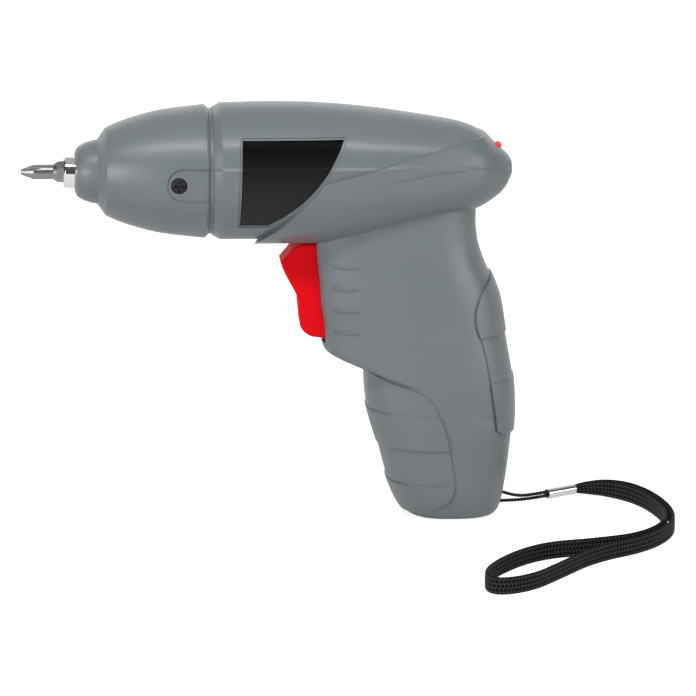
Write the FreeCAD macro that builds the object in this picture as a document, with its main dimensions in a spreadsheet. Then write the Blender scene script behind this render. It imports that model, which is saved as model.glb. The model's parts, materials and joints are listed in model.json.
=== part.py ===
import FreeCAD, Part
import math
import os
import re
import Sketcher
from FreeCAD import Placement, Rotation, Vector

# Electric screwdriver. X runs back along the spindle from the mouth of the bit holder, Z is up.
doc = FreeCAD.newDocument("electric_screwdriver")

# Driving sizes in millimetres
SIZES = {
    # fits
    "wall": 2.2, "part_gap": 0.3, "running_clearance": 0.05, "press_clearance": 0.02,
    # driver bit and spindle
    "bit_flats": 6.35, "bit_length": 25.0, "bit_exposed": 14.3, "bit_shank_radius": 2.5,
    "bit_taper": 4.2, "bit_flute": 8.4, "bit_flare": 1.7, "bit_point_radius": 0.9, "bit_web": 0.55,
    "collar_radius": 5.5, "collar_length": 3.6, "collar_chamfer": 0.6, "collar_exposed": 4.0,
    "neck_radius": 5.2, "journal_radius": 5.0, "stub_radius": 3.5, "groove_depth": 0.6,
    "magnet_radius": 2.9, "magnet_length": 4.0, "clip_thickness": 0.8, "clip_radius": 7.0,
    "bush_length": 10.6, "bush_wall": 2.0, "boss_wall": 2.0,
    # nose cone and the front of the housing
    "nose_length": 44.8, "nose_radius": 22.6, "nose_front_wall": 3.0, "nose_bore_clearance": 0.5,
    "nose_edge": 1.0, "tab_length": 14.6, "tab_half_height": 5.8, "tab_depth": 0.5,
    "seam_gap": 1.3, "seam_radius": 21.3, "bevel_length": 2.7,
    "spigot_radius": 18.5, "spigot_length": 15.2, "spigot_step_radius": 20.1, "spigot_step": 3.8,
    "screw_shank_radius": 1.4, "screw_head_radius": 2.6, "screw_head_height": 1.4,
    "nose_screw_setback": 10.6, "nose_screw_length": 4.6, "cross_width": 0.7, "cross_depth": 0.8,
    # barrel
    "barrel_radius": 23.2, "barrel_length": 99.2, "cheek_raise": 1.6, "crease_depth": 0.8,
    "label_depth": 1.1, "label_sink": 0.45, "label_height": 29.4, "label_length": 35.0, "label_offset": 6.1,
    "label_rim": 0.8, "label_rim_depth": 0.3, "rib_setback": 3.6, "rib_thickness": 1.8,
    # handle
    "axis_height": 120.0, "grip_x": 130.0, "grip_depth": 50.0, "grip_width": 37.2,
    "pad_low": 0.4, "pad_high": 0.9,
    "finger_rib_length": 8.8, "finger_rib_height": 1.0, "finger_rib_raise": 0.4,
    # gears
    "gear_module": 0.55, "gear_backlash": 0.05, "planet_width": 6.0, "planet_pin_radius": 1.5,
    "carrier_radius": 11.6, "carrier_thickness": 2.4, "output_thickness": 3.2, "stage_gap": 0.6,
    "case_wall": 1.8, "cover_thickness": 3.0,
    # motor
    "plate_thickness": 2.0, "can_radius": 13.85, "can_length": 31.0, "can_wall": 1.0, "can_boss_radius": 4.5,
    "can_boss_length": 1.7, "shaft_radius": 1.15, "end_cap_length": 5.0, "magnet_thickness": 2.6,
    "armature_gap": 0.5, "armature_length": 18.0, "commutator_radius": 3.4, "commutator_length": 6.0,
    "core_setback": 5.0, "core_hub_radius": 3.45, "motor_bush_radius": 2.88, "can_lip": 2.0,
    "cap_bore_radius": 8.84, "magnet_gap": 7.7, "brush_width": 2.4, "brush_length": 3.0,
    "terminal_width": 2.8, "terminal_thickness": 0.5, "terminal_length": 5.0,
    # trigger and switch
    "trigger_x": 73.6, "trigger_z": -57.6, "trigger_depth": 15.6, "trigger_height": 33.2,
    "trigger_width": 12.0, "trigger_edge": 1.2, "trigger_skirt": 5.0, "trigger_pin_radius": 1.5,
    "trigger_pin_inset": 2.4,
    "trigger_pin_seat": 3.1, "trigger_drop": 1.5, "switch_setback": 3.5,
    "switch_length": 20.0, "switch_width": 13.0, "switch_height": 29.0,
    "plunger_radius": 2.0, "plunger_depth": 6.0, "plunger_spread": 9.0,
    # battery and charging
    "cell_radius": 7.0, "cell_length": 42.0, "cell_nub_radius": 2.75, "cell_nub": 0.8, "cell_gap": 0.15,
    "tab_width": 6.0, "strip_thickness": 0.25, "pad_thickness": 1.2, "pack_lean_degrees": 5.2,
    "pack_lift": 14.5, "socket_radius": 4.0, "socket_flange_radius": 5.5, "socket_flange": 1.2,
    "socket_bore_radius": 1.78,
    "socket_length": 10.4, "socket_bore_length": 9.6, "socket_setback": 2.6, "socket_room": 4.4,
    # charge light
    "light_radius": 1.5, "light_length": 4.2, "light_flange": 0.9, "light_flange_rim": 0.4,
    "light_x": 146.6, "light_z": 7.7, "light_stand": 0.7, "board_length": 4.4, "board_width": 9.0,
    "board_thickness": 1.2,
    # screws that hold the housing halves
    "housing_screw_length": 14.0, "boss_radius": 4.0, "loose_gap": 0.2, "head_seat": 7.0,
    # wrist strap
    "strap_pin_radius": 1.2, "strap_pin_length": 11.0, "strap_pin_x": 144.1, "strap_pin_lift": 5.4,
    "pin_wall": 1.5, "strand_spread": 2.2,
    "cord_radius": 0.6, "ferrule_radius": 1.75, "ferrule_length": 11.4, "ferrule_bore_radius": 1.35,
    "strap_width": 6.0, "strap_thickness": 1.2, "strap_neck": 2.7,
}

# Tooth counts of both planetary stages
SUN_TEETH = 9
PLANET_TEETH = 21
RING_TEETH = SUN_TEETH + 2 * PLANET_TEETH
PRESSURE_ANGLE = math.radians(25)
ADDENDUM_SHARE = 0.8
DEDENDUM_SHARE = 1.05
PLANETS = 3

# Places worked out from the driving sizes
PLACES = {
    "nose_front": "collar_exposed",
    "nose_rear": "nose_front + nose_length",
    "barrel_front": "nose_rear + seam_gap",
    "bevel_rear": "barrel_front + bevel_length",
    "spigot_front": "nose_rear - spigot_length",
    "screw_x": "nose_rear - nose_screw_setback",
    "case_front": "spigot_front + wall / 2",
    "carrier_two_front": "case_front + part_gap",
    "carrier_two_rear": "carrier_two_front + output_thickness",
    "planet_two_front": "carrier_two_rear + part_gap",
    "planet_two_rear": "planet_two_front + planet_width",
    "carrier_one_front": "planet_two_rear + stage_gap",
    "carrier_one_rear": "carrier_one_front + carrier_thickness",
    "planet_one_front": "carrier_one_rear + part_gap",
    "planet_one_rear": "planet_one_front + planet_width",
    "case_rear": "planet_one_rear + stage_gap",
    "motor_front": "case_rear + plate_thickness",
    "can_rear": "motor_front + can_length",
    "motor_rear": "can_rear + end_cap_length",
    "cover_front": "case_front - cover_thickness",
    "bush_rear": "cover_front + cover_thickness - part_gap",
    "bush_front": "bush_rear - bush_length",
    "clip_rear": "bush_front - part_gap",
    "clip_front": "clip_rear - clip_thickness",
    "stub_front": "carrier_two_front - part_gap / 2",
    "stub_rear": "carrier_two_rear - part_gap / 2",
    "bit_rear": "bit_length - bit_exposed",
    "magnet_front": "bit_rear + part_gap / 2",
    "magnet_rear": "magnet_front + magnet_length",
    "spigot_bore": "case_radius + part_gap",
    "ring_root": f"gear_module * {RING_TEETH / 2 + DEDENDUM_SHARE}",
    "case_radius": "ring_root + case_wall",
    "planet_orbit": f"gear_module * {(SUN_TEETH + PLANET_TEETH) / 2}",
    "bush_bore": "journal_radius + running_clearance",
    "bush_radius": "bush_bore + bush_wall",
    "can_bore": "can_radius - can_wall",
    "armature_radius": "can_bore - magnet_thickness - armature_gap",
    "base_z": "0 - axis_height",
}

sizes = doc.addObject("Spreadsheet::Sheet", "Sizes")
for row, (alias, number) in enumerate(SIZES.items(), 1):
    sizes.set(f"A{row}", alias.replace("_", " "))
    sizes.set(f"B{row}", str(number))
    sizes.setAlias(f"B{row}", alias)
places = doc.addObject("Spreadsheet::Sheet", "Places")


def linked(formula):
    """Put the name of its sheet in front of each alias of a formula."""
    def with_sheet(match):
        word = match.group(0)
        return f"Sizes.{word}" if word in SIZES else f"Places.{word}"
    return re.sub(r"[a-z][a-z_]+", with_sheet, formula)


for row, (alias, formula) in enumerate(PLACES.items(), 1):
    places.set(f"A{row}", alias.replace("_", " "))
    places.setAlias(f"B{row}", alias)
for row, formula in enumerate(PLACES.values(), 1):
    places.set(f"B{row}", "=" + linked(formula))
doc.recompute()


def val(alias):
    """The number in the cell with this alias."""
    return float(sizes.get(alias) if alias in SIZES else places.get(alias))


def amount(formula):
    """The number that a sum of products of aliases comes to."""
    total = 0
    for sign, term in re.findall(r"([+-]?)\s*([^+-]+)", formula):
        product = 1
        for factor in term.split("*"):
            word = factor.strip()
            product *= val(word) if word in SIZES or word in PLACES else float(word)
        total += -product if sign == "-" else product
    return total


NODES = []
Z_AXIS = Vector(0, 0, 1)
Y_AXIS = Vector(0, 1, 0)
X_AXIS = Vector(1, 0, 0)
ORIGIN = Vector(0, 0, 0)
TO_X = Rotation(Y_AXIS, 90)


def node(label, thing):
    """Keep a document object as a named sub-part."""
    thing.Label = label
    NODES.append(thing)
    return thing


def piece(label, shape):
    """A free-form sub-part."""
    feature = doc.addObject("Part::Feature", label)
    feature.Shape = shape
    return node(label, feature)


def turned(label, profile, keep=True):
    """A body turned round the spindle axis from (x, radius) formulas."""
    body = doc.addObject("PartDesign::Body", label)
    sketch = body.newObject("Sketcher::SketchObject", label + "_profile")
    plane = [feature for feature in body.Origin.OriginFeatures if feature.Role == "XZ_Plane"][0]
    sketch.AttachmentSupport = [(plane, "")]
    sketch.MapMode = "FlatFace"
    corners = [Vector(amount(x), amount(radius), 0) for x, radius in profile]
    count = len(corners)
    for index in range(count):
        sketch.addGeometry(Part.LineSegment(corners[index], corners[(index + 1) % count]))
    for index in range(count):
        sketch.addConstraint(Sketcher.Constraint("Coincident", index, 2, (index + 1) % count, 1))
    for index, (corner, formulas) in enumerate(zip(corners, profile)):
        for kind, number, formula in zip(("DistanceX", "DistanceY"), (corner.x, corner.y), formulas):
            place = sketch.addConstraint(Sketcher.Constraint(kind, -1, 1, index, 1, number))
            sketch.setExpression(f"Constraints[{place}]", linked(formula))
    revolve = body.newObject("PartDesign::Revolution", label + "_turn")
    revolve.Profile = sketch
    revolve.ReferenceAxis = (sketch, ["H_Axis"])
    revolve.Angle = 360
    doc.recompute()
    return node(label, body) if keep else body


def drum(x_start, x_end, radius):
    """A cylinder shape on the spindle axis."""
    return Part.makeCylinder(radius, x_end - x_start, Vector(x_start, 0, 0), X_AXIS)


def slab(low, high):
    """A box shape between two corners."""
    return Part.makeBox(high.x - low.x, high.y - low.y, high.z - low.z, low)


def smooth(points, first=None, last=None):
    """A curve through points, with end directions where they matter."""
    curve = Part.BSplineCurve()
    if first is None:
        curve.interpolate(Points=points)
    else:
        curve.interpolate(Points=points, InitialTangent=first, FinalTangent=last)
    return curve.toShape()


# Lengths that reach right through the width and right through the part
reach = val("barrel_radius") * 2
far = val("barrel_length") * 2


def side_prism(*runs):
    """A side-view outline from runs of points, curved where a run has many, pushed through the width."""
    edges = []
    for index, run in enumerate(runs):
        corners = [Vector(x, -reach, z) for x, z in run]
        edges += [smooth(corners)] if len(corners) > 2 else [Part.makeLine(*corners)]
        x, z = runs[(index + 1) % len(runs)][0]
        following = Vector(x, -reach, z)
        if following.distanceToPoint(corners[-1]) > val("press_clearance"):
            edges.append(Part.makeLine(corners[-1], following))
    return Part.Face(Part.Wire(edges)).extrude(Vector(0, 2 * reach, 0))


# Power shares that turn an ellipse into a squarer outline
BARREL_POWER_SHARE = 1.0
GRIP_POWER_SHARE = 0.8
ARC_STEPS = 12
CORNER_SIGNS = [(-1, -1), (-1, 1), (1, 1), (1, -1)]


def bowed(angle, power):
    """Cosine and sine pulled towards the corners by a power."""
    cosine, sine = math.cos(angle), math.sin(angle)
    return (math.copysign(abs(cosine) ** power, cosine), math.copysign(abs(sine) ** power, sine))


# Barrel sections: shares of the length, then of the radius for top, bottom and half width
BARREL_SHARES = [
    (0.0, 1.0, 1.0, 1.0), (0.05, 1.006, 1.0, 1.0), (0.1, 1.012, 1.0, 1.0), (0.16, 1.016, 1.0, 1.0),
    (0.23, 1.013, 1.0, 1.0), (0.31, 1.002, 0.998, 0.998), (0.41, 0.972, 0.975, 0.983),
    (0.506, 0.931, 0.915, 0.95), (0.67, 0.83, 0.765, 0.85), (0.77, 0.757, 0.66, 0.765),
    (0.866, 0.64, 0.556, 0.64), (0.905, 0.535, 0.485, 0.55), (0.938, 0.395, 0.4, 0.43),
    (0.966, 0.285, 0.305, 0.32), (0.988, 0.195, 0.165, 0.2), (1.0, 0.1, 0.05, 0.09),
]
RAISE_SHARES = [1.0, 1.0, 1.0, 1.0, 1.0, 1.0, 1.0, 0.95, 0.8, 0.65, 0.5, 0.4, 0.35, 0.3, 0.3, 0.3]
# Flute in the cheek: shares of its depth and of its rise towards the top, section by section
FLUTE_SHARES = [
    (-0.4, 1.0), (-0.4, 1.0), (-0.4, 1.0), (-0.4, 1.0), (-0.4, 1.0), (-0.4, 1.0), (-0.3, 2.0), (0.15, 3.5),
    (0.9, 3.2), (1.0, 1.9), (0.5, 0.5), (0.1, 0.3), (-0.2, 0.3), (-0.2, 0.3), (-0.2, 0.3), (-0.2, 0.3),
]
HOLLOW_SECTIONS = 13


def barrel_section(x, top, bottom, half):
    """A closed section across the spindle axis from three reaches."""
    edges = []
    for start, reach in ((0, top), (math.pi, bottom)):
        points = []
        for step in range(ARC_STEPS + 1):
            cosine, sine = bowed(start + math.pi * step / ARC_STEPS, BARREL_POWER_SHARE)
            points.append(Vector(x, half * cosine, reach * sine))
        up = Z_AXIS if start == 0 else -Z_AXIS
        edges.append(smooth(points, up, -up))
    return Part.Wire(edges)


def barrel(inset, shares=None, sections=None):
    """The barrel's loft, set in by a length (or out, where it is negative)."""
    radius = val("barrel_radius")
    wires = []
    for index, (along, *reaches) in enumerate(BARREL_SHARES[:sections]):
        depth = inset * (shares[index] if shares else 1)
        x = val("bevel_rear") + along * val("barrel_length")
        wires.append(barrel_section(x, *[share * radius - depth for share in reaches]))
    return Part.makeLoft(wires, True, False)


# Handle sections: front and back points and the widest point as shares of the grip's depth and of the
# axis height, and the half width as a share of the grip's width
LOWER_SHARES = [
    ((-0.188, 0.0), (0.322, 0.0), 0.06, 0.29), ((-0.262, 0.0133), (0.368, 0.0117), 0.052, 0.365),
    ((-0.32, 0.047), (0.396, 0.041), 0.042, 0.42), ((-0.38, 0.108), (0.42, 0.096), 0.022, 0.468),
    ((-0.44, 0.2), (0.442, 0.167), 0.002, 0.492), ((-0.502, 0.283), (0.458, 0.233), -0.018, 0.5),
    ((-0.54, 0.367), (0.466, 0.264), -0.038, 0.5), ((-0.562, 0.4475), (0.469, 0.2925), -0.048, 0.497),
]
SHELF_REACH_SHARE = 1.19
SHELF_RISE_SHARE = 0.01
UPPER_SHARES = [
    ((-0.826, 0.487), (0.465, 0.355), -0.058, 0.494), ((-0.844, 0.53), (0.448, 0.425), -0.088, 0.488),
    ((-0.862, 0.597), (0.404, 0.525), -0.148, 0.477), ((-0.881, 0.667), (0.362, 0.629), -0.208, 0.462),
    ((-0.9, 0.733), (0.286, 0.7125), -0.268, 0.44), ((-0.914, 0.8), (0.214, 0.8), -0.308, 0.42),
    ((-0.92, 0.867), (0.2, 0.883), -0.328, 0.403), ((-0.92, 0.93), (0.19, 0.935), -0.335, 0.37),
]


def grip_point(share, lift):
    """A point of the side view from its shares."""
    depth_share, height_share = share
    z = val("base_z") + height_share * val("axis_height") + lift
    return Vector(val("grip_x") + depth_share * val("grip_depth"), 0, z)


def grip_section(front, back, middle_share, half_share, inset):
    """A closed section through a front and a back point, in two halves that meet at the widest point."""
    along = (back - front).normalize()
    front = front + along * inset
    back = back - along * inset
    middle_x = val("grip_x") + middle_share * val("grip_depth")
    middle = front + along * ((middle_x - front.x) / along.x)
    half = half_share * val("grip_width") - inset
    edges = []
    for tip, start in ((front, math.pi / 2), (back, -math.pi / 2)):
        reach = tip - middle
        points = []
        for step in range(ARC_STEPS + 1):
            cosine, sine = bowed(start - math.pi * step / ARC_STEPS, GRIP_POWER_SHARE)
            points.append(middle + reach * abs(cosine) + Vector(0, half * sine, 0))
        edges.append(smooth(points, reach, -reach))
    return Part.Wire(edges)


def lower_grip(inset):
    """The sections of the grip up to the shelf under the trigger, set in by a length."""
    last = len(LOWER_SHARES) - 1
    hollow = max(inset, 0)
    wires = []
    for index, (front, back, middle, half) in enumerate(LOWER_SHARES):
        lift = hollow * (1 - index / last)
        front_lift = hollow if index == last else lift
        ends = grip_point(front, front_lift), grip_point(back, lift)
        wires.append(grip_section(*ends, middle, half, inset))
    return wires


def handle(inset):
    """The handle, set in by a length (or out, where it is negative)."""
    hollow = max(inset, 0)
    lower = lower_grip(inset)
    front, back, middle, half = LOWER_SHARES[-1]
    front_point, back_point = grip_point(front, 0), grip_point(back, 0)
    shelf_front = back_point + (front_point - back_point) * SHELF_REACH_SHARE + Z_AXIS * hollow
    shelf_back = back_point + Z_AXIS * (SHELF_RISE_SHARE * val("axis_height"))
    upper = [grip_section(shelf_front, shelf_back, middle, half, inset)]
    for high_front, high_back, high_middle, high_half in UPPER_SHARES:
        upper.append(grip_section(
            grip_point(high_front, hollow), grip_point(high_back, 0), high_middle, high_half, inset))
    faces = [Part.Face(lower[0]), Part.Face(upper[-1])]
    for wires, ruled in ((lower, False), ([lower[-1], upper[0]], True), (upper, False)):
        faces += Part.makeLoft(wires, False, ruled).Faces
    shell = Part.Shell(faces)
    shell.sewShape()
    solid = Part.Solid(shell)
    return solid if solid.Volume > 0 else solid.reversed()


# Nose outline: shares of the nose length and of its radius, neck first, then the cone behind the shoulder
NECK_SHARES = [(0.013, 0.361), (0.052, 0.415), (0.1, 0.453), (0.168, 0.486)]
CONE_SHARES = [(0.228, 0.655), (0.324, 0.744), (0.473, 0.842), (0.603, 0.908), (0.779, 0.962), (0.955, 1.0)]
LIP_SHARE = 0.3


def nose_profile(inset):
    """The cone's outside as edges in the side view, set in radially by a length."""
    length, radius = val("nose_length"), val("nose_radius")

    def at(share):
        return Vector(val("nose_front") + share[0] * length, 0, share[1] * radius - inset)
    lip = Vector(val("nose_front"), 0, LIP_SHARE * radius - inset)
    neck = [at(share) for share in NECK_SHARES]
    cone = [at(share) for share in CONE_SHARES]
    edge = val("nose_edge")
    rear = Vector(val("nose_rear"), 0, radius - edge - inset)
    edges = [Part.makeLine(lip, neck[0]), smooth(neck), Part.makeLine(neck[-1], cone[0]), smooth(cone)]
    shoulder = Vector(rear.x - edge, 0, radius - inset)
    edges += [Part.makeLine(cone[-1], shoulder), Part.makeLine(shoulder, rear)]
    foot = Vector(rear.x, 0, 0)
    edges += [Part.makeLine(rear, foot), Part.makeLine(foot, Vector(lip.x, 0, 0))]
    edges.append(Part.makeLine(Vector(lip.x, 0, 0), lip))
    return Part.Face(Part.Wire(edges)).revolve(ORIGIN, X_AXIS, 360)


def tab_prism(grow):
    """The U-shaped screw tab in the side view, pushed through the whole width."""
    half = val("tab_half_height") + grow
    front = val("nose_rear") - val("tab_length")
    centre_x = front + half
    round_end = Part.makeCylinder(half, 2 * reach, Vector(centre_x, -reach, 0), Y_AXIS)
    run = slab(Vector(centre_x, -reach, -half), Vector(val("nose_rear") + half, reach, half))
    return round_end.fuse(run)


def side_rod(x, z, radius, y_low, y_high):
    """A cylinder shape along Y."""
    return Part.makeCylinder(radius, y_high - y_low, Vector(x, y_low, z), Y_AXIS)


# Nose cone
nose = nose_profile(0)
recess = tab_prism(0).common(nose.cut(nose_profile(val("tab_depth"))))
front_inside = val("nose_front") + val("nose_front_wall")
hollow = nose_profile(val("wall")).common(slab(
    Vector(front_inside, -val("nose_radius"), -val("nose_radius")),
    Vector(val("nose_rear"), val("nose_radius"), val("nose_radius"))))
boss_outer = val("screw_head_radius") + val("wall") / 2
inner_gap = val("spigot_radius") + val("part_gap")
for side in (-1, 1):
    low, high = sorted((side * inner_gap, side * val("nose_radius")))
    hollow = hollow.cut(side_rod(val("screw_x"), 0, boss_outer, low, high))
hollow = hollow.fuse(drum(val("spigot_front") - val("wall"), val("nose_rear"), inner_gap))
step_gap = val("spigot_step_radius") + val("part_gap")
hollow = hollow.fuse(drum(val("nose_rear") - val("spigot_step"), val("nose_rear"), step_gap))
nose = nose.cut(recess).cut(hollow)
nose = nose.cut(drum(0, val("nose_rear"), val("neck_radius") + val("nose_bore_clearance")))
seat = inner_gap + val("wall") / 2
for side in (-1, 1):
    low, high = sorted((side * seat, side * reach))
    nose = nose.cut(side_rod(val("screw_x"), 0, val("screw_head_radius") + val("part_gap") / 2, low, high))
    low, high = sorted((0, side * reach))
    nose = nose.cut(side_rod(val("screw_x"), 0, val("screw_shank_radius") + val("part_gap") / 2, low, high))
piece("nose_cone", nose.removeSplitter())


CROSS_SHARE = 0.7


def screw(length):
    """A cross-head screw along -Z with the underside of its head at the origin."""
    head_radius, head_height = val("screw_head_radius"), val("screw_head_height")
    head = Part.makeCylinder(head_radius, head_height)
    top_edges = [edge for edge in head.Edges if edge.BoundBox.ZMin > head_height / 2]
    head = head.makeFillet(head_height / 2, top_edges)
    half = val("cross_width") / 2
    depth = head_height - val("cross_depth")
    arm = head_radius * CROSS_SHARE
    for x, y in ((arm, half), (half, arm)):
        head = head.cut(slab(Vector(-x, -y, depth), Vector(x, y, head_height)))
    shank = Part.makeCylinder(val("screw_shank_radius"), length, ORIGIN, -Z_AXIS)
    return head.fuse(shank)


# Nose screws, one on each side
nose_screws = []
for side in (-1, 1):
    one = screw(val("nose_screw_length"))
    one.Placement = Placement(Vector(val("screw_x"), side * seat, 0), Rotation(X_AXIS, -side * 90))
    nose_screws.append(one)
piece("nose_screws", Part.makeCompound(nose_screws))

# Housing: outside
outer = barrel(0)
low, high = val("nose_rear"), val("barrel_front")
collar = drum(low, high, val("seam_radius"))
bevel_start = val("seam_radius") + val("part_gap")
barrel_start = [share * val("barrel_radius") for share in BARREL_SHARES[0][1:]]
bevel = Part.makeLoft([
    barrel_section(high, bevel_start, bevel_start, bevel_start),
    barrel_section(val("bevel_rear"), *barrel_start)], True, True)
spigot = drum(val("spigot_front"), low, val("spigot_radius"))
spigot = spigot.fuse(drum(low - val("spigot_step"), low, val("spigot_step_radius")))
front = spigot.fuse([collar, bevel])

# Cheek outline behind the label: shares of the barrel length and of its radius
CHEEK_FRONT_SHARES = [
    (0.11, -1.1), (0.157, -0.84), (0.188, -0.73), (0.225, -0.57), (0.271, -0.35), (0.31, -0.17),
    (0.338, 0.027),
]
CHEEK_TOP_SHARES = [
    (0.338, 0.027), (0.44, 0.135), (0.552, 0.253), (0.696, 0.403), (0.78, 0.475), (0.863, 0.535),
    (0.93, 0.55), (1.05, 0.5),
]
CHEEK_END_SHARES = [(1.05, -1.1), (0.11, -1.1)]
FLUTE_EDGE_SHARES = [
    (0.44, -0.06), (0.484, -0.033), (0.611, 0.051), (0.75, 0.123), (0.86, 0.15), (0.95, 0.155),
]
FLUTE_TOP_SHARES = [(0.95, 0.7), (0.44, 0.7)]


def barrel_outline(shares):
    """Side-view points from shares of the barrel."""
    start, length, radius = val("bevel_rear"), val("barrel_length"), val("barrel_radius")
    return [(start + along * length, up * radius) for along, up in shares]


def flute_floor():
    """The raised barrel, its sides drawn in and its top drawn up, so that it dips into the cheek."""
    wires = []
    for (along, *reaches), raised_share, (depth, rise) in zip(BARREL_SHARES, RAISE_SHARES, FLUTE_SHARES):
        raise_here = raised_share * val("cheek_raise")
        top, bottom, half = [share * val("barrel_radius") + raise_here for share in reaches]
        dip = depth * val("crease_depth")
        x = val("bevel_rear") + along * val("barrel_length")
        wires.append(barrel_section(x, top + abs(dip) * rise, bottom, half - dip))
    return Part.makeLoft(wires, True, False)


cheek = barrel(-val("cheek_raise"), RAISE_SHARES).common(side_prism(
    *[barrel_outline(shares) for shares in (CHEEK_FRONT_SHARES, CHEEK_TOP_SHARES, CHEEK_END_SHARES)]))
flute_prism = side_prism(*[barrel_outline(shares) for shares in (FLUTE_EDGE_SHARES, FLUTE_TOP_SHARES)])
cheek = cheek.cut(flute_prism.cut(flute_floor()))

# Grip pads: outlines as shares of the grip's depth and of the axis height
FRONT_PAD_SHARES = [
    [(-0.8, 0.47), (-0.2, 0.386)],
    [(-0.2, 0.386), (-0.115, 0.363), (-0.062, 0.322), (-0.005, 0.255), (0.035, 0.175), (0.053, 0.12),
     (0.03, 0.072), (-0.07, 0.042), (-0.18, 0.027), (-0.3, 0.02)],
    [(-0.3, 0.02), (-0.8, 0.02)],
]
FRONT_BAND_SHARES = [
    (0.02, 0.11, "pad_high"), (0.11, 0.217, "pad_low"), (0.217, 0.318, "pad_high"), (0.318, 0.48, "pad_low"),
]
REAR_PAD_SHARES = [
    [(0.7, 0.7), (0.31, 0.7)],
    [(0.31, 0.7), (0.24, 0.665), (0.2, 0.625), (0.192, 0.585), (0.23, 0.528), (0.295, 0.41), (0.345, 0.265)],
    [(0.345, 0.265), (0.4, 0.25)],
    [(0.4, 0.25), (0.7, 0.25)],
]
REAR_BAND_SHARES = [(0.25, 0.405, "pad_high"), (0.405, 0.538, "pad_low"), (0.538, 0.7, "pad_high")]


def grip_outline(shares):
    """Side-view points from shares of the grip."""
    points = [grip_point(share, 0) for share in shares]
    return [(point.x, point.z) for point in points]


def grip_prism(runs):
    """An outline on the grip pushed through the whole width."""
    return side_prism(*[grip_outline(run) for run in runs])


def band(prism, low_share, high_share, grown):
    """The part of a grown handle inside an outline and between two heights."""
    low_point = grip_point((-1, low_share), 0)
    high_point = grip_point((1, high_share), 0)
    level = slab(Vector(low_point.x, -reach, low_point.z), Vector(high_point.x, reach, high_point.z))
    return grown.common(prism.common(level))


pads = []
for low_share, high_share, height in FRONT_BAND_SHARES:
    grown = Part.makeLoft(lower_grip(-val(height)), True, False)
    pads.append(band(grip_prism(FRONT_PAD_SHARES), low_share, high_share, grown))
for low_share, high_share, height in REAR_BAND_SHARES:
    pads.append(band(grip_prism(REAR_PAD_SHARES), low_share, high_share, handle(-val(height))))

# Thin ribs for the finger at both sides of the trigger
FINGER_RIB_SHARES = [(-0.785, 0.745), (-0.785, 0.681), (-0.78, 0.617), (-0.775, 0.553)]
DIAMOND_SHARES = [(0, 0), (0.4, 0.5), (1, 0), (0.4, -0.5)]
raised_skin = handle(-val("finger_rib_raise"))
for share in FINGER_RIB_SHARES:
    start = grip_point(share, 0)
    corners = [
        (start.x + val("finger_rib_length") * along, start.z + val("finger_rib_height") * up)
        for along, up in DIAMOND_SHARES]
    pads.append(raised_skin.common(side_prism(*zip(corners, corners[1:] + corners[:1]))))

handle_outer = handle(0)
outer = outer.fuse([front, handle_outer, cheek] + pads)

# Housing: inside
hollow = barrel(val("wall"), None, HOLLOW_SECTIONS).fuse(handle(val("wall")))
hollow = hollow.fuse(drum(0, val("bevel_rear") + val("wall"), val("spigot_bore")))
shell = outer.cut(hollow)
barrel_middle = barrel(val("wall") / 2, None, HOLLOW_SECTIONS)
handle_middle = handle(val("wall") / 2)
middle = barrel_middle.fuse(handle_middle)

# Label recess and panels: an outline in shares of the label's length and height, its rear edge curved
LABEL_SHARES = [(0.279, -0.5), (0.0, -0.5), (0.02, 0.5), (1.0, 0.5)]
LABEL_BEND_SHARE = (0.64, -0.16)


def label_prism(grow):
    """The label's outline moved out by a length and pushed through the width."""
    start = val("bevel_rear") + val("label_offset")
    corners = []
    for x_share, z_share in LABEL_SHARES + [LABEL_BEND_SHARE]:
        corners.append(Vector(start + x_share * val("label_length"), z_share * val("label_height"), 0))
    bend = corners.pop()
    edges = [Part.makeLine(*ends) for ends in zip(corners, corners[1:])]
    edges.append(Part.Arc(corners[-1], bend, corners[0]).toShape())
    wire = Part.Wire(edges)
    if grow:
        wire = wire.makeOffset2D(grow)
    prism = Part.Face(wire).extrude(Vector(0, 0, 2 * reach))
    prism.Placement = Placement(Vector(0, reach, 0), Rotation(X_AXIS, 90))
    return prism


label_floor = barrel(val("label_depth"), None, HOLLOW_SECTIONS)
shell = shell.cut(label_prism(val("label_rim")).cut(barrel(val("label_rim_depth"), None, HOLLOW_SECTIONS)))
shell = shell.cut(label_prism(0).cut(label_floor))
label_top = barrel(val("label_sink"), None, HOLLOW_SECTIONS)
labels = label_prism(-val("part_gap") / 2).common(label_top.cut(label_floor))

# Ribs that hold the motor
ribs = []
rib = val("rib_thickness")
for x in (val("motor_front") + val("rib_setback"), val("can_rear") - val("rib_setback") - rib):
    ring = drum(x, x + rib, reach).cut(drum(x, x + rib, val("can_radius") + val("press_clearance")))
    ribs.append(ring.common(barrel_middle))

# Trigger places
trigger_back = val("trigger_x") + val("trigger_depth") + val("trigger_skirt")
PIVOT_SHARE = 0.45
pivot_x = trigger_back - val("trigger_pin_inset")
pivot_z = val("trigger_z") + PIVOT_SHARE * val("trigger_height")
pin_half = val("trigger_width") / 2 + val("trigger_pin_seat")
switch_x = trigger_back + val("switch_setback")
switch_low = Vector(switch_x, -val("switch_width") / 2, pivot_z - val("switch_height") / 2)
switch_high = switch_low + Vector(val("switch_length"), val("switch_width"), val("switch_height"))
switch_gap = Vector(1, 1, 1) * val("press_clearance")
switch_room = slab(switch_low - switch_gap, switch_high + switch_gap)

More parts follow.
